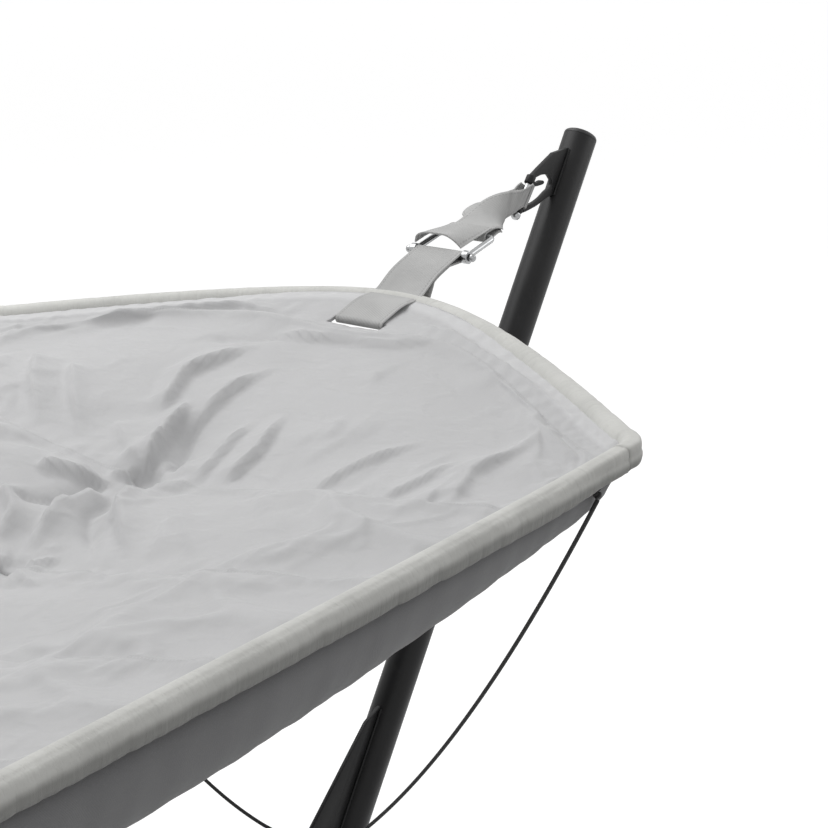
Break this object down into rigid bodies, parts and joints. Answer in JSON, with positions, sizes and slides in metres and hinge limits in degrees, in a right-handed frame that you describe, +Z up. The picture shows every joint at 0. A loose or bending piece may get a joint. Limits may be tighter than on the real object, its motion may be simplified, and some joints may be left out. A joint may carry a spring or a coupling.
{
  "type": "hammock with stand",
  "caption": "Quilted bed with a stiff rim, hung by webbing and shackles between two outward leaning steel posts on a bolted base.",
  "frame": {"origin": "on the ground below the middle of the bed", "axes": "+Z up, +X along the hammock towards end a, +Y to the left seen from end b"},
  "size_m": [3.2424, 1.032, 1.045],
  "materials": {
    "black_steel": "satin powder coat",
    "zinc_steel": "zinc plated",
    "chrome": "polished",
    "black_plastic": "matt",
    "black_rubber": "matt",
    "alloy": "drawn",
    "glass_fibre": "smooth",
    "top_cloth": "fine plain weave",
    "under_cloth": "fine plain weave",
    "rim_cloth": "gathered",
    "webbing": "flat woven",
    "black_cord": "braided"
  },
  "bodies": {
    "stand": {"post_a": "black_steel", "hook_plate_a": "black_steel", "gusset_a": "black_steel", "cross_foot_a": "black_steel", "base_beam_a": "black_steel", "post_b": "black_steel", "hook_plate_b": "black_steel", "gusset_b": "black_steel", "cross_foot_b": "black_steel", "base_beam_b": "black_steel", "beam_end_plate_a": "zinc_steel", "sleeve_bolt_a": "zinc_steel", "sleeve_nut_a": "zinc_steel", "beam_end_plate_b": "zinc_steel", "sleeve_bolt_b": "zinc_steel", "sleeve_nut_b": "zinc_steel", "beam_sleeve": "zinc_steel", "foot_bolt_1": "zinc_steel", "foot_bolt_2": "zinc_steel", "foot_bolt_3": "zinc_steel", "foot_bolt_4": "zinc_steel", "post_cap_a": "black_plastic", "post_cap_b": "black_plastic", "foot_cap_1": "black_rubber", "foot_cap_2": "black_rubber", "foot_cap_3": "black_rubber", "foot_cap_4": "black_rubber", "stay_cord_a_near": "black_cord", "stay_cord_a_far": "black_cord", "stay_cord_b_near": "black_cord", "stay_cord_b_far": "black_cord"},
    "bed": {"bed_pad": "top_cloth", "underside_sheet": "under_cloth", "side_sleeve_left": "rim_cloth", "side_sleeve_right": "rim_cloth", "side_rod_left": "alloy", "side_rod_right": "alloy", "corner_elbow_1": "black_plastic", "corner_elbow_2": "black_plastic", "corner_elbow_3": "black_plastic", "corner_elbow_4": "black_plastic", "cord_eye_1": "black_cord", "cord_eye_2": "black_cord", "cord_eye_3": "black_cord", "cord_eye_4": "black_cord", "end_sleeve_a": "rim_cloth", "end_bow_a": "glass_fibre", "lower_strap_a": "webbing", "upper_strap_a": "webbing", "shackle_bow_a": "chrome", "end_sleeve_b": "rim_cloth", "end_bow_b": "glass_fibre", "lower_strap_b": "webbing", "upper_strap_b": "webbing", "shackle_bow_b": "chrome"},
    "hook_pin_a": {"hook_pin_a": "chrome"},
    "hook_pin_b": {"hook_pin_b": "chrome"},
    "shackle_pin_a": {"shackle_pin_a": "chrome"},
    "shackle_pin_b": {"shackle_pin_b": "chrome"}
  },
  "joints": [
    {"name": "bed_swing", "type": "hinge", "parent": "stand", "child": "bed", "pos_m": [0, 0, 0.96758], "axis": [1, 0, 0], "range_deg": [-12, 12], "deforming": ["stay_cord_a_near", "stay_cord_a_far", "stay_cord_b_near", "stay_cord_b_far"]},
    {"name": "shackle_pin_a_turn", "type": "hinge", "parent": "bed", "child": "shackle_pin_a", "pos_m": [1.237, 0, 0.921], "axis": [0, 1, 0], "continuous": true},
    {"name": "shackle_pin_b_turn", "type": "hinge", "parent": "bed", "child": "shackle_pin_b", "pos_m": [-1.237, 0, 0.921], "axis": [0, 1, 0], "continuous": true},
    {"name": "hook_pin_a_turn", "type": "hinge", "parent": "stand", "child": "hook_pin_a", "pos_m": [1.44608, 0, 0.96758], "axis": [0.6321, 0, 0.7749], "continuous": true},
    {"name": "hook_pin_b_turn", "type": "hinge", "parent": "stand", "child": "hook_pin_b", "pos_m": [-1.44608, 0, 0.96758], "axis": [-0.6321, 0, 0.7749], "continuous": true}
  ]
}
